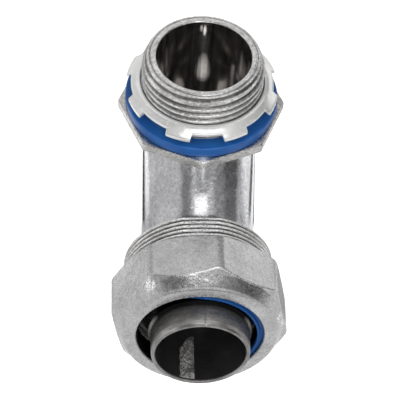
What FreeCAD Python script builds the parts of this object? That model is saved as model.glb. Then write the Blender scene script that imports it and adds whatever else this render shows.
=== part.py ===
import FreeCAD, Part
import math
import os

# Right-angle liquidtight connector for flexible conduit, 1 inch trade size. Millimetres.
# Origin: centre of the flange's seat face, which lies on the wall of the box.
# +Z runs along the hub, out through its tip. The conduit enters along -Y. X = 0 is the plane
# of the bend. Distances along the conduit axis are positive from the hub axis towards -Y.

# Hub
hub_thread_r = 16.7        # crest radius of the hub thread, drawn as a plain cylinder
hub_tip_z = 17.7
hub_land_step = 0.8        # the plain land ahead of the thread is this much lower
hub_land_length = 1.3
hub_chamfer = 1.2          # from the land to the flat end rim
thread_clearance = 0.15    # radial, at both threads

# Raceway through the casting
throat_r = 12.95
throat_depth = 22.0        # straight throat, from the hub tip
throat_edge = 0.5          # chamfer where the throat opens at the hub tip
raceway_relief = 0.2       # the bend inside is this much wider than the throat
elbow_wall = 2.6

# Bend: hub axis, a 45 degree leg, then the conduit axis
bend_top_z = -12.7         # where the hub axis meets the sloping leg
bend_drop = 22.0           # height that the sloping leg covers, and its reach as well

# Flange
flange_thickness = 2.8
flange_corner_r = 0.8
flange_margin = 0.25       # from the gasket's edge to the middle of a flat
cast_root = 0.8            # bevel in the casting's inner corners

# Conduit that the connector takes
conduit_r = 16.6
conduit_wall = 3.13        # the ferrule's sleeve fits inside the conduit's core
conduit_clearance = 0.69   # radial, through the nut's mouth
cup_play = 0.2             # radial, between conduit and ferrule cup

# Ferrule
ferrule_wall = 1.23
ferrule_base = 1.2
ferrule_overhang = 6.2     # length of sleeve in front of the nut
cup_wall = 1.0
cup_clearance = 0.2        # between cup and collar, radial
cup_depth = 12.1           # from seat to cup rim
barb_height = 0.85
barb_length = 1.5
barb_setback = 7.2         # from sleeve tip to the barb's front
ferrule_lead = 0.45        # rounding of the sleeve's lip
ferrule_root = 0.8         # rolled corner between sleeve and base

# Threaded collar for the gland nut
collar_wall = 2.6
collar_start = 29.4
collar_length = 17.6
collar_lead = 0.9          # chamfer on the first thread
seat_depth = 13.5          # from the collar's mouth to the seat of the ferrule

# Gland ring
ring_squeeze = 0.4         # the ring's bore is this much tighter than the conduit
ring_wall = 2.2
ring_length = 4.6
ring_bevel = 0.7
ring_standoff = 2.0        # from the collar's mouth
ring_gap = 0.1             # behind the nut's lip
ring_shift_x = -0.7        # the loose ring rests against the lower left of its pocket
ring_shift_z = -0.6

# Gland nut
nut_wall = 2.1             # over the thread, at the middle of a flat
nut_corner_r = 3.7
nut_turn = 10.6            # degrees that a corner stands off the top, towards +X
nut_length = 16.9
nut_lip = 1.2              # thickness of the inward lip
nut_face_width = 2.51      # flat front face round the mouth
nut_shoulder_width = 1.2   # low shoulder between the front face and the bevel
nut_shoulder_drop = 0.55
nut_bevel_flat = 3.6       # axial depth of the front bevel at the middle of a flat
nut_bevel_corner = 5.1     # axial depth of the front bevel at the sharp corners
nut_bevel_step = 0.1       # the bevel flattens this far outside the flats
nut_back_bevel = 0.7
pocket_clearance = 1.2     # radial, round the gland ring

# Gasket
gasket_clearance = 0.1     # radial, round the hub
gasket_width = 4.1
gasket_thickness = 3.2
gasket_gap = 0.05          # running clearance on the seat
gasket_edge = 0.4          # bevel of the upper outer edge

# Hub locknut
locknut_top_z = 8.6        # top of the plate at the thread, part way down the hub
locknut_plate = 1.15       # sheet thickness
locknut_shoulder = 1.0     # width of the level ring round the thread
locknut_web = 2.65         # from the bore to the floor of the notches
locknut_lug = 1.4          # from the floor of the notches to the tip of a lug
locknut_dish = 1.15        # drop from the level ring to the notch floor
locknut_bend = 1.2         # further drop from the notch floor to the lug tip
locknut_lugs = 8
locknut_lug_angle = 20.0   # degrees that a lug spans
locknut_turn = -20.0       # degrees from -Y to the nearest lug, towards +X
locknut_lug_round = 0.6

# Radii that follow from the sizes above
hub_land_r = hub_thread_r - hub_land_step
raceway_r = throat_r + raceway_relief
elbow_r = raceway_r + elbow_wall
cup_bore_r = conduit_r + cup_play
cup_outer_r = cup_bore_r + cup_wall
collar_bore_r = cup_outer_r + cup_clearance
collar_thread_r = collar_bore_r + collar_wall
ferrule_r = conduit_r - conduit_wall
ferrule_bore_r = ferrule_r - ferrule_wall
ring_bore_r = conduit_r - ring_squeeze
ring_outer_r = ring_bore_r + ring_wall
nut_mouth_r = conduit_r + conduit_clearance
nut_face_r = nut_mouth_r + nut_face_width
nut_thread_r = collar_thread_r + thread_clearance
nut_pocket_r = ring_outer_r + pocket_clearance
nut_flats = 2 * (nut_thread_r + nut_wall)
gasket_bore_r = hub_thread_r + gasket_clearance
gasket_r = gasket_bore_r + gasket_width
flange_flats = 2 * (gasket_r + flange_margin)
locknut_bore_r = hub_thread_r + thread_clearance
locknut_web_r = locknut_bore_r + locknut_web
locknut_tip_r = locknut_web_r + locknut_lug

# Places along the two axes
conduit_z = bend_top_z - bend_drop
collar_mouth = collar_start + collar_length
seat = collar_mouth - seat_depth
ring_back = collar_mouth + ring_standoff
ring_front = ring_back + ring_length
nut_front = ring_front + ring_gap + nut_lip
nut_back = nut_front - nut_length
ferrule_tip = nut_front + ferrule_overhang
far = 200.0                # larger than the part, for trimming blocks


def polygon_face(points):
    return Part.Face(Part.makePolygon(points + [points[0]]))


def turned(profile):
    """Revolve a closed outline of (radius, height) pairs about Z."""
    points = [FreeCAD.Vector(r, 0, z) for r, z in profile]
    return polygon_face(points).revolve(FreeCAD.Vector(), FreeCAD.Vector(0, 0, 1), 360)


def along_conduit(shape):
    """Stand a shape made about Z on the conduit axis, its +Z turned to -Y."""
    placed = shape.copy()
    turn = FreeCAD.Rotation(FreeCAD.Vector(1, 0, 0), 90)
    placed.Placement = FreeCAD.Placement(FreeCAD.Vector(0, 0, conduit_z), turn)
    return placed


def octagon(flats, height, corner):
    """Upright octagonal prism with rounded corners, one corner on -Y."""
    across = flats / 2 / math.cos(math.pi / 8)
    points = []
    for k in range(8):
        angle = math.radians(45 * k - 90)
        points.append(FreeCAD.Vector(across * math.cos(angle), across * math.sin(angle), 0))
    prism = polygon_face(points).extrude(FreeCAD.Vector(0, 0, height))
    upright = [e for e in prism.Edges if abs(e.BoundBox.ZLength - height) < 1e-6]
    return prism.makeFillet(corner, upright)


def beyond(point, normal):
    """A large block that fills everything past a plane."""
    block = Part.makeBox(far, far, far, FreeCAD.Vector(-far / 2, -far / 2, 0))
    turn = FreeCAD.Rotation(FreeCAD.Vector(0, 0, 1), normal)
    block.Placement = FreeCAD.Placement(point, turn).multiply(block.Placement)
    return block


def bent_rod(path, radius):
    """Round rod along straight legs that meet in mitres."""
    legs = []
    last = len(path) - 2
    for k in range(last + 1):
        along = (path[k + 1] - path[k]).normalize()
        ahead = radius if k < last else 0.0
        behind = radius if k > 0 else 0.0
        length = path[k].distanceToPoint(path[k + 1]) + ahead + behind
        leg = Part.makeCylinder(radius, length, path[k] - along * behind, along)
        if k > 0:
            before = (path[k] - path[k - 1]).normalize()
            leg = leg.cut(beyond(path[k], (before + along) * -1))
        if k < last:
            after = (path[k + 2] - path[k + 1]).normalize()
            leg = leg.cut(beyond(path[k + 1], along + after))
        legs.append(leg)
    return legs[0].multiFuse(legs[1:])


def bend_path(top_z, end):
    """Centre line from a height on the hub axis, round the bend, out to a conduit distance."""
    return [
        FreeCAD.Vector(0, 0, top_z),
        FreeCAD.Vector(0, 0, bend_top_z),
        FreeCAD.Vector(0, -bend_drop, conduit_z),
        FreeCAD.Vector(0, -end, conduit_z),
    ]


def hub():
    """Hub with its end land, and the bevel where the elbow runs into the flange."""
    land_top = hub_tip_z - hub_chamfer
    return turned([
        (0, -flange_thickness - cast_root),
        (elbow_r, -flange_thickness - cast_root),
        (elbow_r + cast_root, -flange_thickness),
        (hub_thread_r, -flange_thickness / 2),
        (hub_thread_r, land_top - hub_land_length),
        (hub_land_r, land_top - hub_land_length),
        (hub_land_r, land_top),
        (hub_land_r - hub_chamfer, hub_tip_z),
        (0, hub_tip_z),
    ])


def collar():
    profile = [
        (0, collar_start - cast_root),
        (elbow_r, collar_start - cast_root),
        (elbow_r + cast_root, collar_start),
        (collar_thread_r, collar_start),
        (collar_thread_r, collar_mouth - collar_lead),
        (collar_thread_r - collar_lead, collar_mouth),
        (0, collar_mouth),
    ]
    return along_conduit(turned(profile))


def collar_mouth_void():
    return along_conduit(turned([
        (0, seat),
        (collar_bore_r, seat),
        (collar_bore_r, collar_mouth),
        (0, collar_mouth),
    ]))


def throat_void():
    return turned([
        (0, hub_tip_z - throat_depth),
        (throat_r, hub_tip_z - throat_depth),
        (throat_r, hub_tip_z - throat_edge),
        (throat_r + throat_edge * 2, hub_tip_z + throat_edge),
        (0, hub_tip_z + throat_edge),
    ])


def elbow_body():
    flange = octagon(flange_flats, flange_thickness, flange_corner_r)
    flange.translate(FreeCAD.Vector(0, 0, -flange_thickness))
    rod = bent_rod(bend_path(-flange_thickness / 2, collar_start + 1), elbow_r)
    body = rod.multiFuse([flange, hub(), collar()]).removeSplitter()
    raceway = bent_rod(bend_path(hub_tip_z - throat_depth, seat + 1), raceway_r)
    return body.cut(raceway).cut(throat_void()).cut(collar_mouth_void())


def ferrule():
    tip = ferrule_tip
    barb_front = tip - barb_setback
    rim = seat + cup_depth
    profile = [
        (ferrule_bore_r, seat + ferrule_root),
        (ferrule_bore_r + ferrule_root, seat),
        (cup_outer_r, seat),
        (cup_outer_r, rim),
        (cup_bore_r, rim),
        (cup_bore_r, seat + ferrule_base),
        (ferrule_r, seat + ferrule_base),
        (ferrule_r, barb_front - barb_length),
        (ferrule_r + barb_height, barb_front - barb_length * 0.35),
        (ferrule_r, barb_front),
        (ferrule_r, tip - ferrule_lead),
        (ferrule_r - ferrule_lead, tip),
        (ferrule_bore_r, tip),
    ]
    return along_conduit(turned(profile))


def nut_bevel():
    """Turned blank whose domed front leaves scalloped edges on an octagon's flats."""
    flat_r = nut_flats / 2
    corner_r = flat_r / math.cos(math.pi / 8)
    shoulder_r = nut_face_r + nut_shoulder_width
    steep = (nut_bevel_flat - nut_shoulder_drop) / (flat_r - shoulder_r)
    step_r = flat_r + nut_bevel_step
    step_depth = nut_bevel_flat + nut_bevel_step * steep
    shallow = (nut_bevel_corner - step_depth) / (corner_r - step_r)
    past = 1.0
    return turned([
        (0, 0),
        (flat_r, 0),
        (corner_r + past, (corner_r + past - flat_r) * nut_back_bevel),
        (corner_r + past, nut_length - nut_bevel_corner - past * shallow),
        (step_r, nut_length - step_depth),
        (shoulder_r, nut_length - nut_shoulder_drop),
        (nut_face_r, nut_length),
        (0, nut_length),
    ])


def nut_cavity():
    """Thread bore, pocket for the gland ring and mouth, from the nut's rear face forward."""
    shoulder = ring_back - nut_back
    inside = nut_length - nut_lip
    return turned([
        (0, 0),
        (nut_thread_r, 0),
        (nut_thread_r, shoulder),
        (nut_pocket_r, shoulder + nut_thread_r - nut_pocket_r),
        (nut_pocket_r, inside),
        (nut_mouth_r, inside),
        (nut_mouth_r, nut_length),
        (0, nut_length),
    ])


def gland_nut():
    blank = octagon(nut_flats, nut_length, nut_corner_r).common(nut_bevel())
    # the corner of the blank on +Y comes to the top once the nut stands on the conduit axis
    blank.rotate(FreeCAD.Vector(), FreeCAD.Vector(0, 0, 1), -nut_turn)
    nut = along_conduit(blank.cut(nut_cavity()))
    nut.translate(FreeCAD.Vector(0, -nut_back, 0))
    return nut


def gland_ring():
    ring = along_conduit(turned([
        (ring_bore_r, ring_back),
        (ring_outer_r - ring_bevel, ring_back),
        (ring_outer_r, ring_back + ring_bevel),
        (ring_outer_r, ring_front),
        (ring_bore_r, ring_front),
    ]))
    ring.translate(FreeCAD.Vector(ring_shift_x, 0, ring_shift_z))
    return ring


def hub_gasket():
    top = gasket_gap + gasket_thickness
    return turned([
        (gasket_bore_r, gasket_gap),
        (gasket_r, gasket_gap),
        (gasket_r, top - gasket_edge),
        (gasket_r - gasket_edge, top),
        (gasket_bore_r, top),
    ])


def locknut_notch(angle):
    """Block that clears one notch between two lugs."""
    half = math.radians(180.0 / locknut_lugs - locknut_lug_angle / 2)
    reach = locknut_tip_r + 2
    depth = (locknut_plate + locknut_dish + locknut_bend) * 2
    face = polygon_face([
        FreeCAD.Vector(0, 0, 0),
        FreeCAD.Vector(-reach * math.sin(half), -reach * math.cos(half), 0),
        FreeCAD.Vector(reach * math.sin(half), -reach * math.cos(half), 0),
    ])
    wedge = face.extrude(FreeCAD.Vector(0, 0, depth))
    wedge = wedge.cut(Part.makeCylinder(locknut_web_r, depth))
    corners = [e for e in wedge.Edges if abs(e.BoundBox.ZLength - depth) < 1e-6]
    inner = [e for e in corners if math.hypot(*e.CenterOfMass[:2]) < locknut_web_r + 0.1]
    wedge = wedge.makeFillet(locknut_lug_round, inner)
    wedge.rotate(FreeCAD.Vector(), FreeCAD.Vector(0, 0, 1), angle)
    wedge.translate(FreeCAD.Vector(0, 0, locknut_top_z - depth))
    return wedge


def hub_locknut():
    """Dished plate with bent-down lugs, pressed from sheet."""
    top = locknut_top_z
    level_r = locknut_bore_r + locknut_shoulder
    web_z = top - locknut_dish
    tip_z = web_z - locknut_bend
    plate = turned([
        (locknut_bore_r, top),
        (level_r, top),
        (locknut_web_r, web_z),
        (locknut_tip_r, tip_z),
        (locknut_tip_r, tip_z - locknut_plate),
        (level_r, top - locknut_plate),
        (locknut_bore_r, top - locknut_plate),
    ])
    step = 360.0 / locknut_lugs
    for k in range(locknut_lugs):
        plate = plate.cut(locknut_notch(locknut_turn + step * (k + 0.5)))
    return plate


pieces = {
    "elbow_body": elbow_body,
    "ferrule": ferrule,
    "gland_ring": gland_ring,
    "gland_nut": gland_nut,
    "hub_gasket": hub_gasket,
    "hub_locknut": hub_locknut,
}

os.makedirs("parts", exist_ok=True)
for name, make in pieces.items():
    shape = make()
    shape.exportStep("parts/" + name + ".step")
    print(name, "valid", shape.isValid(), "solids", len(shape.Solids), "volume", round(shape.Volume, 1))
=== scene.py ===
import math

import bpy
import numpy as np
from mathutils import Matrix, Vector

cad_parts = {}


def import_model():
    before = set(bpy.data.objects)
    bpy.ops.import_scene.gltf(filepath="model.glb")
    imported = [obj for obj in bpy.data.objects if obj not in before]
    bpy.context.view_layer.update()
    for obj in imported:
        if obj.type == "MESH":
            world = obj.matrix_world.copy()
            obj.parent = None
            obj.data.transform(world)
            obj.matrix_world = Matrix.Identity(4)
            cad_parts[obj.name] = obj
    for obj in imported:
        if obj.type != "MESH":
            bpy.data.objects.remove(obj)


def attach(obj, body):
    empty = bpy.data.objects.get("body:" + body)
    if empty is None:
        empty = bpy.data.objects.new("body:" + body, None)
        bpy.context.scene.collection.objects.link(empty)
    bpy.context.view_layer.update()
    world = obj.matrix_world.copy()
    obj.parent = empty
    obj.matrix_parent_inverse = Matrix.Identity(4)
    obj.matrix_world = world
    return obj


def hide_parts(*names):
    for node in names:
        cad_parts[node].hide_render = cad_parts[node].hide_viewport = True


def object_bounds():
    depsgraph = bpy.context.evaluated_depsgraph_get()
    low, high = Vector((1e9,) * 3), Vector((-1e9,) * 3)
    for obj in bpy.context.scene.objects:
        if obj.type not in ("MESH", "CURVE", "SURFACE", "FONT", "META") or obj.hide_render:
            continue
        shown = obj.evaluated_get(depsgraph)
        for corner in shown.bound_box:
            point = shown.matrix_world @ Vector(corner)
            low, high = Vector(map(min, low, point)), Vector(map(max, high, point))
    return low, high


# Looks of a right-angle liquidtight connector. Lengths are in millimetres here and are turned
# into the frame's metres when a mesh is made. The frame is the part's own: +Z along the hub,
# the conduit along -Y, X = 0 the plane of the bend.

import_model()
cad_low, cad_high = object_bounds()

MM = 0.001
TAU = 2 * math.pi
QUARTER = TAU / 4

# Sizes shared with the solids
HUB_R = 16.7
HUB_TIP = 17.7
HUB_LAND_R = 15.9
HUB_PITCH = 2.209
THROAT_R = 12.95
RACEWAY_R = 13.15
ELBOW_R = 15.75
BEND_TOP_Z = -12.7
BEND_DROP = 22.0
CONDUIT_Z = BEND_TOP_Z - BEND_DROP
FLANGE_FLATS = 42.3
FLANGE_T = 2.8
COLLAR_R = 20.6
COLLAR_START = 29.4
COLLAR_MOUTH = 47.0
COLLAR_BORE_R = 18.0
COLLAR_PITCH = 1.411
SEAT = 33.5
FERRULE_BORE_R = 12.24
FERRULE_R = 13.47
FERRULE_TIP = 61.1
CUP_R = 17.8
NUT_FLATS = 45.7
NUT_BACK = 38.0
NUT_FRONT = 54.9
NUT_TURN = 10.6
NUT_MOUTH_R = 17.29
NUT_CORNER_R = 3.7
NUT_THREAD_R = 20.75
NUT_POCKET_R = 19.6
RING_BORE_R = 16.2
RING_BACK = 49.0
RING_FRONT = 53.6
GASKET_R = 20.9
LOCKNUT_BORE_R = 16.85
LOCKNUT_TOP = 8.6

# Sizes that only the looks have
SKIN = 0.02  # how far a dressed face stays inside its solid
HUB_THREAD_DEPTH = 1.05
COLLAR_THREAD_DEPTH = 0.75
THREAD_STEPS = 264
HUB_RING_STEP = 0.115
COLLAR_RING_STEP = 0.105
NUT_RING_STEP = 0.15
BEND_STEPS = 240
BEVEL_DEPTHS = [0.0, 0.25, 3.764, 5.1, 9.1]
BEVEL_RADII = [20.2, 20.82, 22.95, 24.73, 30.06]
WELD_LENGTH = 14.1

# near-black for places marked dark: stains, weld gaps, deeper in thread grooves
DARK_TONE = (0.03, 0.028, 0.026)
# worn zinc colour, also used for painted highlights on the nut
BARE_ZINC_AND_HIGHLIGHT = (0.93, 0.93, 0.92)
# painted shade for the sleeve's top behind the barb
SLEEVE_SHADE = (0.006, 0.006, 0.0065)
SHADE = (0.002, 0.0025, 0.004)


# Shader nodes
def shader(name):
    """New material: itself, its nodes, its surface shader and the object's own coordinates."""
    mat = bpy.data.materials.new(name)
    mat.use_nodes = True
    tree = mat.node_tree
    coords = tree.nodes.new("ShaderNodeTexCoord")
    return mat, tree, tree.nodes["Principled BSDF"], coords.outputs["Object"]


def noise(tree, vector, scale, detail, rough, stretch=(1, 1, 1)):
    """Noise with scale cells to the millimetre."""
    mapping = tree.nodes.new("ShaderNodeMapping")
    mapping.inputs["Scale"].default_value = [1000.0 * side for side in stretch]
    tree.links.new(vector, mapping.inputs["Vector"])
    texture = tree.nodes.new("ShaderNodeTexNoise")
    texture.inputs["Scale"].default_value = scale
    texture.inputs["Detail"].default_value = detail
    texture.inputs["Roughness"].default_value = rough
    tree.links.new(mapping.outputs["Vector"], texture.inputs["Vector"])
    return texture.outputs["Fac"]


def ramp(tree, value, start, end):
    """Grey that follows value from one stop to another; a stop is (value, grey)."""
    node = tree.nodes.new("ShaderNodeValToRGB")
    for element, (position, grey) in zip(node.color_ramp.elements, (start, end)):
        element.position = position
        element.color = (grey, grey, grey, 1.0)
    tree.links.new(value, node.inputs["Fac"])
    return node.outputs["Color"]


def attribute(tree, name):
    """Value that the mesh carries point by point."""
    node = tree.nodes.new("ShaderNodeAttribute")
    node.attribute_name = name
    return node.outputs["Fac"]


def fill(tree, socket, value):
    """Sets a socket to a number or colour, or links it to another socket."""
    if isinstance(value, (int, float)):
        socket.default_value = value
    elif isinstance(value, tuple):
        socket.default_value = (*value, 1.0)
    else:
        tree.links.new(value, socket)


def mixed(tree, kind, share, first, second):
    """Two colours blended; the sockets are the colour ones of the mix node."""
    node = tree.nodes.new("ShaderNodeMix")
    node.data_type = "RGBA"
    node.blend_type = kind
    for index, value in ((0, share), (6, first), (7, second)):
        fill(tree, node.inputs[index], value)
    return node.outputs[2]


def maths(tree, kind, *values):
    """Math node; each value is a number or a socket."""
    node = tree.nodes.new("ShaderNodeMath")
    node.operation = kind
    for socket, value in zip(node.inputs, values):
        fill(tree, socket, value)
    return node.outputs[0]


def roughened(tree, bsdf, value, rough, swing):
    """Roughness that swings about a middle value."""
    tree.links.new(maths(tree, "MULTIPLY_ADD", value, swing, rough - swing / 2), bsdf.inputs["Roughness"])


def bumped(tree, bsdf, *heights):
    """Chain of bumps, each (height socket, strength, distance in millimetres)."""
    normal = None
    for height, strength, distance in heights:
        bump = tree.nodes.new("ShaderNodeBump")
        bump.inputs["Strength"].default_value = strength
        bump.inputs["Distance"].default_value = distance * MM
        tree.links.new(height, bump.inputs["Height"])
        if normal is not None:
            tree.links.new(normal, bump.inputs["Normal"])
        normal = bump.outputs["Normal"]
    tree.links.new(normal, bsdf.inputs["Normal"])


# Materials
def cast_metal(name, bright, dark, rough, mottle, grain, lumpy=0.25, metallic=1.0, worn=True):
    """Die-cast zinc: mottled grey, orange peel, dark pits, darker where the mesh is marked (grooves,
    stains), and worn-through zinc and painted highlights where it is marked bright.
    """
    mat, tree, bsdf, where = shader(name)
    broad = noise(tree, where, 0.16, 4.0, 0.65)
    fine = noise(tree, where, 0.9, 5.0, 0.75)
    speck = noise(tree, where, 2.6, 3.0, 0.7)
    colour = mixed(tree, "MIX", ramp(tree, broad, (0.36, 0.0), (0.64, 1.0)), dark, bright)
    colour = mixed(tree, "MULTIPLY", mottle, colour, ramp(tree, fine, (0.36, 0.3), (0.6, 1.0)))
    colour = mixed(tree, "MULTIPLY", mottle * 1.1, colour, ramp(tree, speck, (0.36, 0.35), (0.56, 1.0)))
    colour = mixed(tree, "MULTIPLY", 0.6, colour, ramp(tree, speck, (0.27, 0.1), (0.34, 1.0)))
    darkening = maths(tree, "MULTIPLY", attribute(tree, "dirt_and_shade"), ramp(tree, fine, (0.3, 1.0), (0.75, 0.65)))
    colour = mixed(tree, "MIX", darkening, colour, DARK_TONE)
    # bright marks: worn zinc, and painted highlights on the nut's bevel edge and mouth
    if worn:
        bare_and_highlight = maths(tree, "MULTIPLY", attribute(tree, "scuff_and_highlight"), ramp(tree, speck, (0.38, 0.0), (0.5, 1.0)))
        colour = mixed(tree, "MIX", bare_and_highlight, colour, BARE_ZINC_AND_HIGHLIGHT)
        metallic = maths(tree, "MULTIPLY_ADD", bare_and_highlight, -0.6 * metallic, metallic)
    fill(tree, bsdf.inputs["Metallic"], metallic)
    tree.links.new(colour, bsdf.inputs["Base Color"])
    roughened(tree, bsdf, fine, rough, 0.2)
    bumped(tree, bsdf, (broad, lumpy, 0.5), (fine, grain, 0.14), (speck, grain * 0.8, 0.06))
    return mat


def bright_metal(name, bright, dark, rough, grain, scratches, stretch=(1, 1, 1), spots=0.5, lumpy=0.1,
                 metallic=1.0, with_painted_shade=False):
    """Smoother metal with fine drawn lines and a few darker patches."""
    mat, tree, bsdf, where = shader(name)
    broad = noise(tree, where, 0.12, 3.0, 0.6)
    lines = noise(tree, where, 0.9, 4.0, 0.7, stretch)
    speck = noise(tree, where, 3.0, 2.0, 0.6)
    colour = mixed(tree, "MIX", ramp(tree, broad, (0.35, 0.0), (0.68, 1.0)), dark, bright)
    colour = mixed(tree, "MULTIPLY", scratches, colour, ramp(tree, lines, (0.32, 0.45), (0.66, 1.0)))
    colour = mixed(tree, "MULTIPLY", spots, colour, ramp(tree, speck, (0.22, 0.2), (0.3, 1.0)))
    # painted shade: where the mesh is marked, the colour goes near-black and the shine drops
    if with_painted_shade:
        dirt_and_shade = attribute(tree, "dirt_and_shade")
        colour = mixed(tree, "MIX", dirt_and_shade, colour, SLEEVE_SHADE)
        tree.links.new(maths(tree, "MULTIPLY_ADD", dirt_and_shade, -0.5, 0.5), bsdf.inputs["Specular IOR Level"])
    tree.links.new(colour, bsdf.inputs["Base Color"])
    bsdf.inputs["Metallic"].default_value = metallic
    roughened(tree, bsdf, lines, rough, 0.2)
    bumped(tree, bsdf, (broad, lumpy, 0.4), (lines, grain, 0.06))
    return mat


def blue_plastic(name, shaded):
    """Satin blue seal; a shaded one gets painted shade, dark and dull places, where its mesh is marked."""
    mat, tree, bsdf, where = shader(name)
    broad = noise(tree, where, 0.2, 3.0, 0.5)
    fine = noise(tree, where, 2.2, 4.0, 0.6)
    deep, light = (0.0095, 0.068, 0.245), (0.014, 0.092, 0.30)
    colour = mixed(tree, "MIX", ramp(tree, broad, (0.35, 0.0), (0.7, 1.0)), deep, light)
    colour = mixed(tree, "MULTIPLY", 0.25, colour, ramp(tree, fine, (0.3, 0.6), (0.7, 1.0)))
    shine = bsdf.inputs["Specular IOR Level"]
    shine.default_value = 0.25
    if shaded:
        dirt_and_shade = attribute(tree, "dirt_and_shade")
        colour = mixed(tree, "MIX", dirt_and_shade, colour, SHADE)
        dulled = maths(tree, "MULTIPLY_ADD", dirt_and_shade, -0.6, 0.25)
        tree.links.new(maths(tree, "MAXIMUM", dulled, 0.02), shine)
    tree.links.new(colour, bsdf.inputs["Base Color"])
    bsdf.inputs["Metallic"].default_value = 0.0
    roughened(tree, bsdf, fine, 0.34, 0.18)
    bumped(tree, bsdf, (broad, 0.1, 0.3), (fine, 0.12, 0.03))
    return mat


CAST = cast_metal("cast_zinc", (0.72, 0.71, 0.70), (0.52, 0.515, 0.51), 0.28, mottle=0.5, grain=0.6)
THREAD = cast_metal("cast_thread", (0.86, 0.855, 0.85), (0.62, 0.61, 0.60), 0.2, mottle=0.5, grain=0.7,
                    metallic=0.8)
ELBOW = cast_metal("cast_elbow", (0.60, 0.60, 0.615), (0.48, 0.48, 0.495), 0.09, mottle=0.34, grain=0.25,
                   lumpy=0.12)
NUT = cast_metal("cast_nut", (0.585, 0.58, 0.585), (0.48, 0.475, 0.48), 0.26, mottle=0.3, grain=0.45)
WELD = cast_metal("weld_scar", (1.0, 0.99, 0.97), (0.22, 0.215, 0.21), 0.4, mottle=1.0, grain=1.0,
                  metallic=0.3, worn=False)
BORE = bright_metal("cast_bore", (0.80, 0.76, 0.72), (0.5, 0.475, 0.455), 0.12, grain=0.5, scratches=0.95,
                    stretch=(0.7, 0.7, 0.03), metallic=0.985)
PLATE = bright_metal("plated_locknut", (0.76, 0.765, 0.755), (0.66, 0.66, 0.65), 0.24, grain=0.3,
                     scratches=0.2, spots=0.1, lumpy=0.6, metallic=0.6)
STEEL = bright_metal("plated_steel", (0.37, 0.36, 0.355), (0.24, 0.235, 0.23), 0.28, grain=0.3,
                     scratches=0.8, stretch=(0.25, 2, 0.25), metallic=0.8, with_painted_shade=True)
# painted shade: near-black steel for the lining inside the sleeve
STEEL_PAINTED_SHADE = bright_metal("steel_painted_shade", (0.05, 0.05, 0.052), (0.03, 0.03, 0.032), 0.35, grain=0.14,
                        scratches=0.5, stretch=(0.2, 3, 0.2), metallic=0.7)
BLUE = blue_plastic("blue_seal", shaded=False)
BLUE_PAINTED_SHADE = blue_plastic("blue_seal_painted_shade", shaded=True)


# Mesh helpers
def linked(name, data):
    """Object that holds the data, in the scene."""
    ob = bpy.data.objects.new(name, data)
    bpy.context.scene.collection.objects.link(ob)
    return ob


def piece(name, verts, faces, material, body, sharp, dirt_and_shade=None, scuff_and_highlight=None, replaces=None,
          inner=None):
    """Mesh object; inner is (second material, its first face, one past its last face)."""
    mesh = bpy.data.meshes.new(name)
    mesh.from_pydata((np.asarray(verts).reshape(-1, 3) * MM).tolist(), [], faces)
    mesh.update()
    mesh.polygons.foreach_set("use_smooth", [True] * len(mesh.polygons))
    mesh.set_sharp_from_angle(angle=math.radians(sharp))
    # first mark: stains, weld gaps and darker grooves, plus painted shade on the ring and sleeve; second:
    # worn zinc, plus painted highlights on the nut
    for label, values in (("dirt_and_shade", dirt_and_shade), ("scuff_and_highlight", scuff_and_highlight)):
        if values is not None:
            layer = mesh.attributes.new(label, "FLOAT", "POINT")
            layer.data.foreach_set("value", np.asarray(values, dtype=np.float32).reshape(-1))
    ob = linked(name, mesh)
    mesh.materials.append(material)
    if inner:
        second, first_face, end_face = inner
        mesh.materials.append(second)
        index = np.zeros(len(mesh.polygons), dtype=np.int32)
        index[first_face:end_face] = 1
        mesh.polygons.foreach_set("material_index", index)
    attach(ob, body)
    if replaces:
        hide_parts(replaces)
    return ob


def grid_faces(rows, n, closed=True):
    """Quads between rings of n points; closed joins last ring to first and the ends of each ring."""
    row = np.arange(rows if closed else rows - 1)
    column = np.arange(n if closed else n - 1)
    rr, cc = np.meshgrid(row, column, indexing="ij")
    next_r = (rr + 1) % rows
    next_c = (cc + 1) % n
    corners = [rr * n + cc, rr * n + next_c, next_r * n + next_c, next_r * n + cc]
    return np.stack(corners, -1).reshape(-1, 4).tolist()


def clipped(values):
    """Values held between 0 and 1."""
    return np.clip(values, 0, 1)


def eased(share):
    """0..1 with a soft start and a soft end."""
    return share * share * (3 - 2 * share)


def bell(distance, width):
    """1 at no distance, next to nothing at twice the width."""
    return np.exp(-(distance / width) ** 2)


def smooth_min(a, b, blend):
    """Smaller of two values, with a round change from one to the other."""
    share = clipped(0.5 + 0.5 * (b - a) / blend)
    return b + (a - b) * share - blend * share * (1 - share)


def rounded_line(at, knots_at, knots_value, shifts):
    """Broken line through knots, averaged at shifted places so that its corners are round."""
    return sum(np.interp(at + shift, knots_at, knots_value) for shift in shifts) / len(shifts)


def lumps(a, b, seed, waves=9):
    """Smooth repeatable roughness in about -1..1 over two coordinates."""
    draw = np.random.RandomState(seed)
    total = 0 * a
    for _ in range(waves):
        rate_a, rate_b = draw.uniform(0.4, 2.6, 2)
        phase_a, phase_b = draw.uniform(0, TAU, 2)
        total = total + np.sin(rate_a * a + phase_a) * np.sin(rate_b * b + phase_b)
    return total / math.sqrt(waves) * 1.2


def corner_arc(before, here, after, reach, steps):
    """Points of a bend that starts and ends at reach from its corner."""
    start = here + (before - here) / np.linalg.norm(before - here) * reach
    end = here + (after - here) / np.linalg.norm(after - here) * reach
    shares = np.linspace(0, 1, steps + 1)
    return [(1 - s) ** 2 * start + 2 * s * (1 - s) * here + s * s * end for s in shares]


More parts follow.
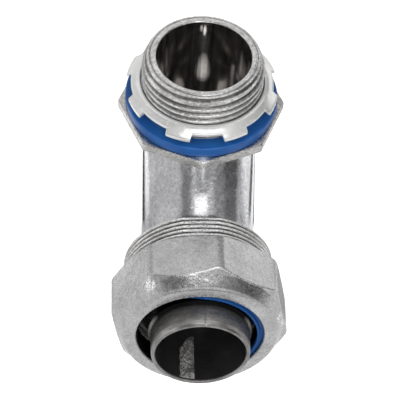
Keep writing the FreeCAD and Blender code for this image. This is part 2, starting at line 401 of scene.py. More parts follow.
def softened(points, steps=4):
    """Closed outline of (r, z) or (r, z, corner radius), with those corners rounded."""
    out = []
    for k, point in enumerate(points):
        here = np.array(point[:2], float)
        if len(point) < 3:
            out.append(here)
            continue
        before = np.array(points[k - 1][:2], float)
        after = np.array(points[(k + 1) % len(points)][:2], float)
        length_in, length_out = np.linalg.norm(before - here), np.linalg.norm(after - here)
        cosine = np.dot(before - here, after - here) / length_in / length_out
        opening = math.acos(max(-1, min(1, cosine)))
        reach = min(point[2] / math.tan(opening / 2), length_in * 0.49, length_out * 0.49)
        out += corner_arc(before, here, after, reach, steps)
    return np.array(out)


def ring_angles(n):
    """Row of even angles round a ring."""
    return np.linspace(0, TAU, n, endpoint=False)[None, :]


def angle_off(angles, at):
    """How far each angle lies from another, the short way round."""
    return np.abs((angles - at + math.pi) % TAU - math.pi)


def outline_rows(outline, angles):
    """Radii and heights of an outline at every angle."""
    return outline[:, :1] + 0 * angles, outline[:, 1:] + 0 * angles


def spun(radii, heights, angles):
    """Rings of points about Z."""
    return np.stack([radii * np.cos(angles), radii * np.sin(angles), heights + 0 * angles], -1)


def to_conduit(points):
    """Points made about Z, with z the distance along the conduit, moved onto the conduit's axis."""
    return np.stack([points[..., 0], -points[..., 2], points[..., 1] + CONDUIT_Z], -1)


def thread_depth(z, angles, pitch, depth, offset):
    """Depth below the crest of a rounded right-hand screw thread at height z."""
    turns = z / pitch - angles / TAU - offset
    away = np.abs(turns - np.floor(turns) - 0.5) * 2
    return depth * clipped((away - 0.34) / 0.62) ** 0.85 + 0.04 * depth * away


def octagon_radius(angles, flat, corner, turn):
    """Distance to a rounded octagon's outline; turn is the angle of one of its corners."""
    half_side = TAU / 16
    away = np.abs((angles - turn) % (TAU / 8) - half_side)
    straight = (flat - corner) * math.tan(half_side)
    arc_centre = (flat - corner) / math.cos(half_side)
    from_corner = half_side - away
    inside = corner ** 2 - (arc_centre * np.sin(from_corner)) ** 2
    arc = arc_centre * np.cos(from_corner) + np.sqrt(np.maximum(inside, 0))
    return np.where(flat * np.tan(away) < straight, flat / np.cos(away), arc)


def gathered_angles(n, places, span, count, least):
    """Even angles with count more across each place, and none closer together than least."""
    angles = list(np.linspace(0, TAU, n, endpoint=False))
    for place in places:
        angles += list(place + np.linspace(-span, span, count))
    angles = np.sort(np.array(angles) % TAU)
    return angles[np.concatenate([[True], np.diff(angles) > least])][None, :]


def octagon_angles(turn, n, corner_span, count):
    """Even angles with more of them near the eight corners."""
    return gathered_angles(n, [turn + k * TAU / 8 for k in range(8)], corner_span, count, 1e-4)


# Elbow casting
def hub_shell():
    """Threaded hub: screw thread that runs out over the plain land, stepped rim, smooth throat."""
    bottom, top = -2.2, HUB_TIP - 0.5
    angles = ring_angles(THREAD_STEPS)
    heights = np.arange(bottom, top, HUB_RING_STEP)
    z = heights[:, None] + 0 * angles
    cut = thread_depth(z, angles, HUB_PITCH, HUB_THREAD_DEPTH, 0.78)
    sunk = cut * clipped((z - 0.6) / 1.2)
    ragged = np.abs(0.035 * lumps(z * 2.3, angles * 17, 3))
    land = np.interp(z, [14.2, 15.9, 16.5, top], [HUB_R, HUB_LAND_R, HUB_LAND_R - 0.05, 15.5])
    r = np.minimum(HUB_R - 0.03 - sunk, land - 0.32 * cut) - ragged
    # darker deeper in the thread's grooves
    darkening = clipped(sunk / HUB_THREAD_DEPTH * 1.45) ** 1.2 * 0.98

    step_r, step_z = 14.65, HUB_TIP - 0.3
    rim = softened([(15.5, top), (step_r + 0.7, step_z + 0.02, 0.15), (step_r + 0.35, step_z + 0.06),
                    (step_r + 0.1, step_z, 0.1), (step_r - 0.1, step_z, 0.1),
                    (step_r - 0.3, HUB_TIP - 0.05), (step_r - 0.55, HUB_TIP, 0.15),
                    (THROAT_R + 0.25, HUB_TIP, 0.2), (THROAT_R, HUB_TIP - 0.25, 0.15), (THROAT_R, 0.0)])
    rim = np.vstack([rim[1:], [(THROAT_R, bottom)]])
    rim_r, rim_z = outline_rows(rim, angles)
    # darker along the rim's step
    rim_darkening = 0.75 * bell(rim_r - step_r, 0.22)
    rim_r = rim_r + 0.03 * lumps(rim_z * 1.5, angles * 11, 5) * (rim_r > THROAT_R + 0.2)

    rows = len(heights) + len(rim)
    return piece("hub_threaded", np.concatenate([spun(r, z, angles), spun(rim_r, rim_z, angles)]),
                 grid_faces(rows, THREAD_STEPS), THREAD, "elbow", sharp=60,
                 dirt_and_shade=np.concatenate([darkening, rim_darkening]),
                 inner=(BORE, (rows - 3) * THREAD_STEPS, rows * THREAD_STEPS))


def bend_lines(radius, start_z, end_s, corner=1.6, steps=5):
    """Rings of a mitred tube round the bend: each angle's line has its two corners rounded."""
    slant = math.sqrt(0.5)
    side = np.array([1.0, 0, 0])
    along = np.array([(0, 0, -1.0), (0, -slant, -slant), (0, -1.0, 0)])
    # square to X and to each leg: the direction that an angle of a quarter turn points in
    across = np.array([(0, 1.0, 0), (0, slant, -slant), (0, 0, -1.0)])
    nodes = np.array([(0, 0, start_z), (0, 0, BEND_TOP_Z),
                      (0, -BEND_DROP, CONDUIT_Z), (0, -end_s, CONDUIT_Z)])
    lines = []
    for angle in ring_angles(BEND_STEPS)[0]:
        offsets = (side * math.cos(angle) + across * math.sin(angle)) * radius
        corners = [nodes[0] + offsets[0]]
        for node, before, after in ((nodes[1], along[0], along[1]), (nodes[2], along[1], along[2])):
            mitre = before + after
            start = corners[-1]
            corners.append(start + before * np.dot(node - start, mitre) / np.dot(before, mitre))
        corners.append(nodes[3] + offsets[2])
        line = [corners[0]]
        for before, here, after in zip(corners, corners[1:], corners[2:]):
            shorter = min(np.linalg.norm(before - here), np.linalg.norm(after - here))
            line += corner_arc(before, here, after, min(corner, shorter * 0.45), steps)
        lines.append(line + [corners[-1]])
    return np.array(lines).transpose(1, 0, 2)


def fillet(deepest):
    """Rings where the bend meets what carries it: (how far into it, how much wider)."""
    return (deepest, 1.2), (0.0, 0.85), (-0.1, 0.62), (-0.25, 0.4), (-0.5, 0.17), (-0.85, 0.02)


def elbow_tube():
    """Bend of the casting with fillets to flange and collar, and the raceway inside it."""
    angles = ring_angles(BEND_STEPS)[0]
    outer = bend_lines(ELBOW_R, -FLANGE_T + 0.5, COLLAR_START + 0.6)
    # more rings on the sloping leg, between its two bends, for the marks on it
    between = [outer[6] + (outer[7] - outer[6]) * k / 24 for k in range(1, 24)]
    rings = [spun(ELBOW_R + wider, into - FLANGE_T, angles) for into, wider in fillet(0.5)]
    rings += [*outer[1:7], *between, *outer[7:-1]]
    rings += [to_conduit(spun(ELBOW_R + wider, COLLAR_START + into, -angles))
              for into, wider in fillet(0.6)[::-1]]
    first_inner = len(rings)
    raceway_top, throat_end = -4.3, -2.0
    rings += list(bend_lines(RACEWAY_R, raceway_top, SEAT + 0.4)[::-1])
    for r, z in ((THROAT_R, raceway_top), (THROAT_R, throat_end), (ELBOW_R - 0.5, throat_end)):
        rings.append(spun(r, z, angles))

    verts = np.array(rings)
    x, y, z = verts[..., 0], verts[..., 1], verts[..., 2]
    down = (-y - z) / math.sqrt(2)
    facing = ((z - y) / math.sqrt(2) > 4.5) * clipped((24.0 - down) / 6.0)
    mould_line = bell(x - 0.5, 0.45 + 0.1 * np.clip(14 - down, 0, 9))
    rubbed = clipped(1 - (x / 6.5) ** 2) * clipped((21.0 - down) / 5.0)
    bright_marks = facing * clipped(0.9 * mould_line + 0.4 * rubbed)
    blots = facing * clipped(lumps(x * 1.4, down * 1.2, 61) - 0.25) * clipped((21.0 - down) / 4.0)
    blots = 0.8 * blots * (np.abs(x) < 7.5)
    bright_marks[first_inner:] = 0
    blots[first_inner:] = 0
    return piece("elbow_bend", verts, grid_faces(len(rings), BEND_STEPS), ELBOW, "elbow",
                 sharp=50, dirt_and_shade=blots, scuff_and_highlight=bright_marks, replaces="elbow_body",
                 inner=(BORE, first_inner * BEND_STEPS, (len(rings) - 1) * BEND_STEPS))


def flange_plate():
    """Octagonal flange with a worn corner towards the conduit."""
    flat, corner, hole_r = FLANGE_FLATS / 2, 0.8, 15.2
    front = -QUARTER
    angles = octagon_angles(front, 240, 0.06, 13)
    # rounding of an edge: (inset, distance from the face)
    edge = ((0.5, 0.0), (0.28, 0.03), (0.1, 0.13), (0.02, 0.34), (0.0, 0.6))
    sides = [(inset, -below) for inset, below in edge]
    sides += [(inset, below - FLANGE_T) for inset, below in edge[::-1]]
    rings = [spun(hole_r, 0.0, angles)]
    rings += [spun(octagon_radius(angles, flat - inset, corner, front), z, angles) for inset, z in sides]
    rings.append(spun(hole_r, -FLANGE_T, angles))
    verts = np.concatenate(rings)
    uneven = 0.015 * np.abs(lumps(verts[..., 0] * 1.1, verts[..., 1] * 1.1, 8))
    verts[1:-1, :, 2] -= uneven[1:-1]
    bright_marks = 0.7 * bell(angle_off(angles, front), 0.055) + 0 * verts[..., 0]
    faces = grid_faces(len(rings), angles.shape[1])
    return piece("flange_octagon", verts, faces, CAST, "elbow", sharp=50, scuff_and_highlight=bright_marks)


def collar_shell():
    """Threaded collar that the gland nut runs on, with its bore."""
    angles = ring_angles(THREAD_STEPS)
    places = np.arange(COLLAR_START, COLLAR_MOUTH - 0.5, COLLAR_RING_STEP)
    s = places[:, None] + 0 * angles
    cut = thread_depth(s, angles, COLLAR_PITCH, COLLAR_THREAD_DEPTH, 0.35)
    sunk = cut * clipped((s - COLLAR_START - 0.25) / 0.5)
    taper = 0.8 * (1 - clipped((COLLAR_MOUTH - s) / 1.3))
    ragged = np.abs(0.03 * lumps(s * 3.1, angles * 19, 13))
    r = COLLAR_R - SKIN - sunk - taper - ragged
    # the thread is flattened where the two halves of the mould meet, at the top and underneath
    for mould_line in (QUARTER, -QUARTER):
        off = angle_off(angles, mould_line)
        r = np.minimum(r, (COLLAR_R - 0.62) / np.cos(np.minimum(off, 0.5)))
    r = r - 0.3 * (1 - clipped((s - COLLAR_START) / 0.3))

    mouth = softened([(19.6, COLLAR_MOUTH, 0.3), (COLLAR_BORE_R + 0.3, COLLAR_MOUTH, 0.2),
                      (COLLAR_BORE_R, COLLAR_MOUTH - 0.4, 0.1), (COLLAR_BORE_R, SEAT),
                      (RACEWAY_R - SKIN, SEAT), (RACEWAY_R - SKIN, COLLAR_START), (14.5, COLLAR_START)])
    mouth_r, mouth_s = outline_rows(mouth, angles)
    # darker deeper in the thread's grooves
    darkening = clipped(sunk / COLLAR_THREAD_DEPTH * 1.3) ** 1.15 * 0.96
    bright_marks = clipped(1 - 2.2 * cut / COLLAR_THREAD_DEPTH) * bell(angle_off(angles, QUARTER), 0.5)
    verts = to_conduit(np.concatenate([spun(r, s, angles), spun(mouth_r, mouth_s, angles)]))
    faces = grid_faces(len(places) + len(mouth), THREAD_STEPS)
    return piece("collar_threaded", verts, faces, THREAD, "elbow", sharp=60,
                 dirt_and_shade=np.concatenate([darkening, 0 * mouth_r]), scuff_and_highlight=np.concatenate([bright_marks, 0 * mouth_r]))


# Gland nut
def nut_outer():
    """Octagonal nut with a front bevel, its mouth, pocket and thread bore."""
    flat = NUT_FLATS / 2
    turn = QUARTER - math.radians(NUT_TURN)
    length = NUT_FRONT - NUT_BACK
    angles = octagon_angles(turn, 420, 0.16, 21)
    heights = np.concatenate([np.linspace(0, 1.6, 12), np.linspace(2.2, 10.4, 6),
                              np.arange(10.9, length - SKIN, NUT_RING_STEP)])
    z = heights[:, None] + 0 * angles
    depth = length - z
    prism = octagon_radius(angles, flat, NUT_CORNER_R, turn) + 0 * z
    cone = rounded_line(depth, BEVEL_DEPTHS, BEVEL_RADII, (-0.5, -0.25, 0.0, 0.25, 0.5))
    cone = np.minimum(cone, np.interp(depth, BEVEL_DEPTHS, BEVEL_RADII))
    back_bevel = flat - 0.05 + z / 0.7
    r = np.minimum(smooth_min(smooth_min(prism, cone, 0.32), back_bevel, 0.3), prism)
    r = r - 0.2 * clipped(1 - depth / 0.3) ** 2
    r = r - np.abs(0.025 * lumps(z * 1.7, angles * 23, 21))

    # worn places that a wrench left: degrees, depth from the front, half spans of both, dent, seed
    bright_marks = 0 * r
    for degrees, deep, wide, long, dent, seed in (
            (128.5, 3.5, 4.5, 1.4, 0.3, 71), (15.0, 2.4, 5.0, 1.4, 0.5, 55), (8.0, 3.6, 5.0, 1.7, 0.5, 48),
            (-32.0, 4.0, 5.0, 1.5, 0.2, 105), (216.0, 4.2, 6.0, 1.2, 0.15, 62)):
        off = angle_off(angles, math.radians(degrees))
        patch = clipped(1.2 - (off / math.radians(wide)) ** 2 - ((depth - deep) / long) ** 2)
        bite = lumps(z * 5.0, angles * 60, seed)
        r = r - dent * patch * np.abs(bite) * 0.5
        bright_marks = np.maximum(bright_marks, patch * clipped(bite + 0.55))
    # painted highlight along the bevel's edge on its upper side, made bright like worn zinc together with
    # the wrench marks
    bevel_highlight = bell(prism - cone, 0.13) * clipped(1.3 - angle_off(angles, 1.2) / 0.9)
    bright_marks = np.maximum(bright_marks, 0.7 * bevel_highlight)

    face = softened([(19.75, length), (NUT_MOUTH_R + 0.3, length, 0.2), (NUT_MOUTH_R, length - 0.35, 0.15),
                     (NUT_MOUTH_R, length - 1.2, 0.05), (NUT_POCKET_R, length - 1.2, 0.2),
                     (NUT_POCKET_R, 12.2), (NUT_THREAD_R + 0.05, 11.0), (NUT_THREAD_R + 0.05, 1.0),
                     (21.7, 0.0)])
    face_r, face_z = outline_rows(face, angles)
    # painted highlight: the mouth is made bright along its top edge, like worn zinc
    lip_highlight = 0.6 * bell(face_r - 17.5, 0.4) * (face_z > length - 0.5)
    lip_highlight = lip_highlight * clipped(1.3 - np.abs(angles - QUARTER) / 0.9)
    verts = np.concatenate([spun(r, z + NUT_BACK, angles), spun(face_r, face_z + NUT_BACK, angles)])
    faces = grid_faces(len(heights) + len(face), angles.shape[1])
    return piece("nut_octagon", to_conduit(verts), faces, NUT, "nut", sharp=48,
                 scuff_and_highlight=np.concatenate([bright_marks, lip_highlight]), replaces="gland_nut")


# Locknut and seals
def locknut_plate():
    """Pressed locknut: sloping rim with eight lugs, one of them to each side of the front."""
    bore, web_r, lug_r, thick = LOCKNUT_BORE_R + SKIN, 19.5, 20.88, 1.13
    step = TAU / 8
    first = -QUARTER + math.radians(-20.0)
    half_lug, flank = math.radians(10.0), 0.012
    ends = [first + k * step + side * half_lug for k in range(8) for side in (-1, 1)]
    angles = gathered_angles(240, ends, 0.03, 13, 8e-4)
    away = np.abs((angles - first + step / 2) % step - step / 2)
    outer = web_r + (lug_r - web_r) * eased(clipped((half_lug + flank - away) / flank / 2))

    def top(r):
        knots_r, knots_z = (bore, 17.85, 19.5, 20.9), (LOCKNUT_TOP, LOCKNUT_TOP, 7.45, 6.25)
        return rounded_line(r, knots_r, knots_z, (-0.45, -0.22, 0.0, 0.22, 0.45)) - SKIN

    rings = []
    for share in np.linspace(0, 1, 15):
        r = bore + 0.28 + (outer - bore - 0.28 - 0.3) * share
        rings.append((r, top(r)))
    for inset, below in ((0.12, 0.04), (0.03, 0.12), (0.0, 0.26), (0.0, 0.9), (0.08, 1.08), (0.25, thick)):
        rings.append((outer - inset, top(outer - 0.3) - below))
    for share in np.linspace(1, 0, 7):
        r = bore + 0.1 + (outer - 0.4 - bore - 0.1) * share
        rings.append((r, top(r) + SKIN - thick))
    for inset, below in ((0.0, 1.0), (0.0, 0.3), (0.04, 0.14), (0.12, 0.05)):
        rings.append((bore + inset + 0 * outer, top(bore + 0 * outer) - below))
    verts = np.concatenate([spun(r, z, angles) for r, z in rings])
    verts[..., 2] = np.minimum(verts[..., 2], LOCKNUT_TOP - SKIN)
    faces = grid_faces(len(rings), angles.shape[1])
    return piece("locknut_pressed", verts, faces, PLATE, "locknut", sharp=55,
                 replaces="hub_locknut")


def gasket_ring():
    """Sealing gasket on the flange's seat, slightly higher at its outer edge."""
    bore, edge, base, top = 16.82, GASKET_R - SKIN, 0.06, 3.24
    outline = softened([(bore, base), (edge - 0.12, base, 0.25), (edge, 1.3, 0.5), (edge - 0.06, top, 0.5),
                        (18.6, top - 0.04, 0.8), (17.6, top - 0.12, 0.5), (bore, top - 0.1, 0.2)], 6)
    angles = ring_angles(288)
    r, z = outline_rows(outline, angles)
    return piece("gasket_blue", spun(r, z, angles), grid_faces(len(outline), 288), BLUE, "gasket",
                 sharp=60, replaces="hub_gasket")


def seal_ring():
    """Sealing ring; where it is squeezed, at the top and right, it bulges forward into the nut's mouth."""
    bore, outer, back, front = RING_BORE_R + SKIN, 18.38, RING_BACK + SKIN, RING_FRONT - SKIN
    swell_r, swell_front = 17.0, RING_FRONT - SKIN + 0.8
    outline = softened([(bore, back), (17.7, back, 0.2), (outer, back + 0.68, 0.3), (outer, front, 0.15),
                        (swell_r + 0.05, front, 0.1), (swell_r, swell_front, 0.35),
                        (bore, swell_front, 0.3), (bore, front - 0.1), (bore, front - 0.5)], 6)
    angles = ring_angles(240)
    r, s = outline_rows(outline, angles)
    squeezed_at, half_span, fade = math.radians(24), math.radians(86), math.radians(28)
    squeezed = eased(clipped((half_span - angle_off(angles, squeezed_at)) / fade))
    s = np.where(s > front, front + (s - front) * squeezed, s)
    verts = spun(r, s, angles) - np.array([0.7, 0.6, 0.0])
    # painted shade: the ring is marked dark in its bore and, increasingly away from its squeezed top and
    # right, all over, so its left and lower side goes dark
    bore_shade = clipped((bore + 0.38 - r) / 0.3) * clipped((front - 0.1 - s) / 0.3)
    return piece("ring_blue", to_conduit(verts), grid_faces(len(outline), 240), BLUE_PAINTED_SHADE, "ring",
                 sharp=60, dirt_and_shade=np.maximum(bore_shade, 1 - 0.78 * squeezed),
                 replaces="gland_ring")


# Ferrule
def ferrule_sleeve():
    """Sleeve with a barb and a closed seam on top, painted shade on its upper side behind the barb, and the
    cup that it stands in.
    """
    tip, barb, bore, base, cup = FERRULE_TIP, FERRULE_TIP - 7.2, FERRULE_BORE_R, SEAT, CUP_R - SKIN
    rows = [(FERRULE_R, base + 1.2)]
    rows += [(FERRULE_R, s) for s in np.linspace(base + 2, barb - 2.0, 5)]
    rows += [(FERRULE_R, barb - 1.5, 0.4), (FERRULE_R + 0.84, barb - 0.55, 0.25),
             (FERRULE_R + 0.3, barb - 0.12, 0.2), (FERRULE_R, barb + 0.15, 0.3)]
    rows += [(FERRULE_R, s) for s in np.linspace(barb + 1.0, tip - 2.2, 4)]
    rows += [(FERRULE_R, tip - 1.75, 0.3), (FERRULE_R - 0.12, tip - 0.6, 0.5), (FERRULE_R - 0.4, tip, 0.25),
             (bore + 0.3, tip, 0.2), (bore, tip - 0.35, 0.2)]
    rows += [(bore, s) for s in np.linspace(tip - 1.5, base + 1.5, 8)]
    rows += [(bore, base + 0.8, 0.3), (bore + 0.8, base + SKIN, 0.5), (CUP_R - 0.8, base + SKIN, 0.5),
             (cup, base + 0.8, 0.3), (cup, base + 12.1, 0.3), (cup - 0.96, base + 12.1, 0.3),
             (cup - 0.96, base + 1.2, 0.2)]
    outline = softened(rows)
    angles = ring_angles(480)
    r, s = outline_rows(outline, angles)
    outside = (np.abs(r - FERRULE_R) < 1.0) & (r > FERRULE_R - 0.3)
    r = r - outside * 0.16 * bell(angle_off(angles, QUARTER - 0.06), 0.012)
    # painted shade: behind the barb, inside the nut's mouth, the upper side of the sleeve and cup goes
    # near-black and dull
    painted_shade = clipped((barb + 1.5 - s) / 1.4) * (r > bore + 0.4)
    painted_shade = painted_shade * clipped((1.3 - angle_off(angles, QUARTER)) / 0.3)
    return piece("ferrule_sleeve", to_conduit(spun(r, s, angles)), grid_faces(len(outline), 480), STEEL,
                 "elbow", sharp=50, dirt_and_shade=painted_shade, replaces="ferrule")


def ferrule_lining():
    """Near-black lining over the inside of the sleeve: painted shade."""
    hidden, shown = FERRULE_BORE_R + 0.05, FERRULE_BORE_R - 0.03
    outline = np.array([(hidden, SEAT + 1.0), (shown, SEAT + 1.6),
                        (shown, FERRULE_TIP - 0.75), (hidden, FERRULE_TIP - 0.5)])
    angles = ring_angles(240)
    r, s = outline_rows(outline, angles)
    return piece("ferrule_lining", to_conduit(spun(r, s, angles)), grid_faces(len(outline), 240), STEEL_PAINTED_SHADE,
                 "elbow", sharp=50)


def weld_scar():
    """Rough welded seam inside the sleeve, low and a little to the left, that starts as a thin line."""
    n, m = 150, 26
    end = FERRULE_TIP - 0.9
    s, u = np.meshgrid(np.linspace(end - WELD_LENGTH, end, n), np.linspace(-1, 1, m), indexing="ij")
    near = (s - s[0, 0]) / (s[-1, 0] - s[0, 0])
    half = 0.05 + 0.13 * clipped(near / 0.35) ** 0.7
    right_edge = -QUARTER - 0.08
    waves = 1 + 0.07 * np.sin(s * 1.9) + 0.05 * np.sin(s * 4.3 + 1)
    angles = right_edge - half + u * half * np.where(u < 0, waves, 1.0)
    crown = clipped(1 - u ** 2) ** 0.6
    rough = lumps(s * 3.4, u * 6.5, 31) * 0.2 + lumps(s * 8.0, u * 14.0, 32) * 0.12
    top = spun(FERRULE_BORE_R + SKIN - crown * (0.2 + np.abs(rough)), s, angles)
    under = spun(FERRULE_BORE_R + 0.25, s, angles)

    faces = grid_faces(n, m, closed=False)
    faces += [[i + n * m for i in reversed(face)] for face in faces]
    rim = [i * m for i in range(n)] + [(n - 1) * m + j for j in range(1, m)]
    rim += [i * m + m - 1 for i in range(n - 2, -1, -1)] + list(range(m - 2, 0, -1))
    faces += [[a, b, b + n * m, a + n * m] for a, b in zip(rim, rim[1:] + rim[:1])]

    gaps = lumps(s * 5.0, u * 9.0, 33) + 0.7 * lumps(s * 11.0, u * 19.0, 34)
    gaps = clipped(clipped(0.2 + gaps - 0.6 * u) + 0.5 * clipped(1 - near / 0.4))
    return piece("ferrule_weld", to_conduit(np.concatenate([top, under])), faces, WELD, "elbow",
                 sharp=70, dirt_and_shade=np.concatenate([gaps, 0 * gaps]))


hub_shell()
elbow_tube()
flange_plate()
collar_shell()
nut_outer()
locknut_plate()
gasket_ring()
seal_ring()
ferrule_sleeve()
ferrule_lining()
weld_scar()

# Studio: places and sizes are in metres from here on, apart from points that are marked as millimetres
CENTRE = (0, -28, -14)  # millimetres
LEG = Vector((0, -1, -1)).normalized()
PHOTO_WIDTH = 400
FOCAL_PIXELS = 2143.2
SENSOR = 36
CAMERA_AZIMUTH = -4.41
CAMERA_ELEVATION = 49.58
CAMERA_ROLL = 4.005
CAMERA_DISTANCE = 0.57497
CAMERA_TARGET = (-0.70, -30.0, -6.89)  # millimetres


def direction(azimuth, elevation):
    """Unit vector from the object: azimuth 0 is -Y, 90 is +X."""
    a, e = math.radians(azimuth), math.radians(elevation)
    return Vector((math.sin(a) * math.cos(e), -math.cos(a) * math.cos(e), math.sin(e)))


def camera():
    """Camera that sees the part from the photograph's side."""
    data = bpy.data.cameras.new("camera")
    data.lens = FOCAL_PIXELS / PHOTO_WIDTH * SENSOR
    data.sensor_width = SENSOR
    data.clip_start = 0.01
    data.clip_end = 10
    ob = linked("camera", data)
    azimuth, roll = math.radians(CAMERA_AZIMUTH), math.radians(CAMERA_ROLL)
    back = direction(CAMERA_AZIMUTH, CAMERA_ELEVATION)
    level = Vector((math.cos(azimuth), math.sin(azimuth), 0))
    upright = back.cross(level)
    right = level * math.cos(roll) + upright * math.sin(roll)
    up = upright * math.cos(roll) - level * math.sin(roll)
    turn = Matrix((right, up, back)).transposed().to_4x4()
    ob.matrix_world = Matrix.Translation(Vector(CAMERA_TARGET) * MM + back * CAMERA_DISTANCE) @ turn
    bpy.context.scene.camera = ob


def seen_rays(tree):
    """1 for what the camera sees straight, in gloss or through glass, 0 for what only lights."""
    path = tree.nodes.new("ShaderNodeLightPath")
    seen = maths(tree, "MAXIMUM", path.outputs["Is Camera Ray"], path.outputs["Is Glossy Ray"])
    return maths(tree, "MAXIMUM", seen, path.outputs["Is Transmission Ray"])


def matte(name, colour, glow):
    """Dull material that also glows; glow is a number, or a function of the nodes that makes a socket."""
    mat = bpy.data.materials.new(name)
    mat.use_nodes = True
    tree = mat.node_tree
    tree.nodes.clear()
    out = tree.nodes.new("ShaderNodeOutputMaterial")
    diffuse = tree.nodes.new("ShaderNodeBsdfDiffuse")
    diffuse.inputs["Color"].default_value = (*colour, 1.0)
    emission = tree.nodes.new("ShaderNodeEmission")
    fill(tree, emission.inputs["Strength"], glow(tree) if callable(glow) else glow)
    total = tree.nodes.new("ShaderNodeAddShader")
    tree.links.new(diffuse.outputs[0], total.inputs[0])
    tree.links.new(emission.outputs[0], total.inputs[1])
    tree.links.new(total.outputs[0], out.inputs["Surface"])
    return mat


def floor():
    """Pale floor just under the part; its glow only whitens it where it is seen."""
    half = 3.0
    z = cad_low.z - SKIN * MM
    mesh = bpy.data.meshes.new("floor")
    corners = [(-half, -half, z), (half, -half, z), (half, half, z), (-half, half, z)]
    mesh.from_pydata(corners, [], [(0, 1, 2, 3)])
    ob = linked("floor", mesh)
    mesh.materials.append(matte("white_floor", (0.6, 0.6, 0.6),
                                lambda tree: maths(tree, "MULTIPLY", seen_rays(tree), 0.75)))


def world():
    """White where it is seen, half as strong as light."""
    studio = bpy.data.worlds.new("studio")
    bpy.context.scene.world = studio
    studio.use_nodes = True
    tree = studio.node_tree
    background = tree.nodes["Background"]
    background.inputs["Color"].default_value = (1, 1, 1, 1)
    tree.links.new(maths(tree, "MULTIPLY_ADD", seen_rays(tree), 0.5, 0.5), background.inputs["Strength"])


def stage_card(name, verts, faces, glow):
    """Card that only mirrors see."""
    mesh = bpy.data.meshes.new(name)
    mesh.from_pydata([tuple(v) for v in verts], [], faces)
    ob = linked(name, mesh)
    mesh.materials.append(matte(name, (0.0, 0.0, 0.0), glow))
    ob.visible_camera = False
    ob.visible_diffuse = False
    ob.visible_shadow = False
    return ob


def strip_card(name, pairs, glow):
    """Card along a row of point pairs."""
    verts = [point for pair in pairs for point in pair]
    faces = [(2 * k, 2 * k + 1, 2 * k + 3, 2 * k + 2) for k in range(len(pairs) - 1)]
    return stage_card(name, verts, faces, glow)


def card(name, turn_from, turn_to, glow, reach, radius=0.42, steps=10):
    """Curved card about the sloping leg's axis: turns in degrees from straight above it, towards +X."""
    upward, side = Vector((0, -1, 1)).normalized(), Vector((1, 0, 0))
    pairs = []
    for degrees in np.linspace(turn_from, turn_to, steps + 1):
        t = math.radians(degrees)
        out = Vector(CENTRE) * MM + (upward * math.cos(t) + side * math.sin(t)) * radius
        pairs.append([out + LEG * along for along in reach])
    return strip_card(name, pairs, glow)


def arc_card(name, turn_from, turn_to, glow, radius=0.4, steps=8):
    """Curved card behind the part, about the conduit's axis: degrees from straight up, towards +X."""
    pairs = []
    for degrees in np.linspace(turn_from, turn_to, steps + 1):
        t = math.radians(degrees)
        pair = []
        for along in (0.54, 0.75):
            across = math.sqrt(1 - along ** 2)
            out = Vector((math.sin(t) * across, along, math.cos(t) * across))
            pair.append(Vector(CENTRE) * MM + out * radius)
        pairs.append(pair)
    return strip_card(name, pairs, glow)


def panel(name, azimuth, elevation, distance, width, height, glow, start=CENTRE):
    """Flat card that faces the start point, which is in millimetres."""
    away = direction(azimuth, elevation)
    side = direction(azimuth + 90, 0) * width / 2
    upward = away.cross(side).normalized() * height / 2
    middle = Vector(start) * MM + away * distance
    corners = [middle + side * a + upward * b for a, b in ((-1, -1), (1, -1), (1, 1), (-1, 1))]
    return stage_card(name, corners, [(0, 1, 2, 3)], glow)


def floor_card(name, x_span, y_span, glow):
    """Card that lies on the floor."""
    (x0, x1), (y0, y1), z = x_span, y_span, cad_low.z + 0.3 * MM
    return stage_card(name, [(x0, y0, z), (x1, y0, z), (x1, y1, z), (x0, y1, z)], [(0, 1, 2, 3)], glow)


def spot_card(name, centre, half_width, up, down, glow):
    """Upright card in the throat, in millimetres: bright in the middle and black at its rim."""
    n = 24
    verts, fade = [Vector(centre) * MM], [1.0]
    for size, level in ((0.5, 0.75), (1.0, 0.0)):
        for t in ring_angles(n)[0]:
            rise = (up if math.sin(t) > 0 else down) * math.sin(t)
            verts.append(verts[0] + Vector((half_width * math.cos(t), 0, rise)) * size * MM)
            fade.append(level)
    faces = [(0, 1 + k, 1 + (k + 1) % n) for k in range(n)]
    faces += [(1 + k, 1 + n + k, 1 + n + (k + 1) % n, 1 + (k + 1) % n) for k in range(n)]
    ob = stage_card(name, verts, faces, lambda tree: maths(tree, "MULTIPLY", attribute(tree, "fade"), glow))
    ob.data.attributes.new("fade", "FLOAT", "POINT").data.foreach_set("value", fade)
    return ob


def softbox(name, azimuth, elevation, power, distance=0.6, size=0.3):
    """Soft lamp that faces the part and isn't mirrored by it."""
    data = bpy.data.lights.new(name, "AREA")
    data.shape = "RECTANGLE"
    data.size = size
    data.size_y = size
    data.energy = power
    ob = linked(name, data)
    away = direction(azimuth, elevation)
    ob.location = Vector(CENTRE) * MM + away * distance
    ob.rotation_euler = away.to_track_quat("Z", "Y").to_euler()
    ob.visible_glossy = False
    ob.visible_camera = False


bpy.context.scene.view_settings.view_transform = "Standard"
camera()
floor()
world()

# what the sloping leg, the collar's top and the nut's bevel mirror
card("card_left_light", -118, -38, 0.92, reach=(-0.03, 0.35))
card("card_left_bevel", -118, -58, 1.7, reach=(-0.17, -0.03))
card("card_left_corner", -118, -58, 0.6, reach=(-0.5, -0.17))
card("card_left_dark", -38, -14, 0.36, reach=(-0.03, 0.35))
card("card_left_deep", -58, -8, 0.15, reach=(-0.5, -0.03))
card("card_middle", -8, 54, 0.45, reach=(-0.5, 0.06))
card("card_right_dark", 54, 86, 0.3, reach=(0.015, 0.12))
card("card_right_deep", 40, 94, 0.05, reach=(-0.5, 0.015))
arc_card("card_back", 9, 60, 0.2)

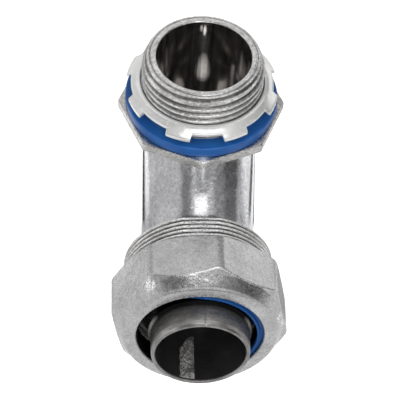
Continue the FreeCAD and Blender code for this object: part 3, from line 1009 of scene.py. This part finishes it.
# what faces that lean towards the viewer mirror
panel("card_front", 5, 21, 0.36, 0.34, 0.09, 0.8)
panel("card_front_high", 5, 33, 0.36, 0.34, 0.06, 1.9)
panel("card_front_low", 5, 3, 0.36, 0.5, 0.15, 0.22)
panel("card_locknut", 3, 53, 0.07, 0.06, 0.032, 3.5, start=(0, -19, 8))
panel("card_back_right", 130, 15, 0.4, 0.26, 0.16, 1.25)
panel("card_near", 3.7, 40, 0.030, 0.016, 0.0045, 2.8, start=(0.8, -24.7, -15.2))

# what upright faces mirror: the floor in front of them, with dark and bright lines beside the bend
BESIDE = (0.004, 0.045)
floor_card("card_floor_front", (-0.5, 0.5), (-0.4, -0.03), 0.94)
floor_card("card_floor_back", (-0.4, 0.4), (0.045, 0.2), 0.32)
floor_card("card_side_left", (-0.5, -0.01), (-0.03, 0.004), 0.75)
floor_card("card_side_right", (0.01, 0.5), (-0.03, -0.004), 0.5)
floor_card("card_floor_left", (-0.5, -0.106), BESIDE, 1.0)
floor_card("card_line_left", (-0.106, -0.097), BESIDE, 0.05)
floor_card("card_shine_left", (-0.097, -0.05), (0.01, 0.045), 1.7)
floor_card("card_edge_left", (-0.05, -0.03), BESIDE, 0.05)
floor_card("card_edge_right", (0.022, 0.035), BESIDE, 0.05)
floor_card("card_shine_right", (0.035, 0.055), BESIDE, 1.7)
floor_card("card_line_right", (0.055, 0.078), BESIDE, 0.05)
floor_card("card_floor_right", (0.078, 0.5), (-0.004, 0.045), 1.55)

# what the polished throat mirrors: small cards inside the raceway
spot_card("card_throat", (0.7, 9.95, -5.2), 1.15, 8.6, 4.8, 0.8)
spot_card("card_throat_right", (0.62, 10.95, 12.6), 0.38, 2.4, 2.5, 1.6)
spot_card("card_throat_left", (-0.1, 10.95, 13.7), 0.3, 1.2, 2.0, 1.0)
side_card = [Vector((-7.2, y, z)) * MM for y, z in ((6.4, -21), (7.4, -21), (7.4, -12), (6.4, -12))]
stage_card("card_throat_side", side_card, [(0, 1, 2, 3)], 0.4)

softbox("light_top_left", -50, 45, 1.5)
softbox("light_front", 8, 38, 2.0)
softbox("light_top_right", 70, 50, 0.7)
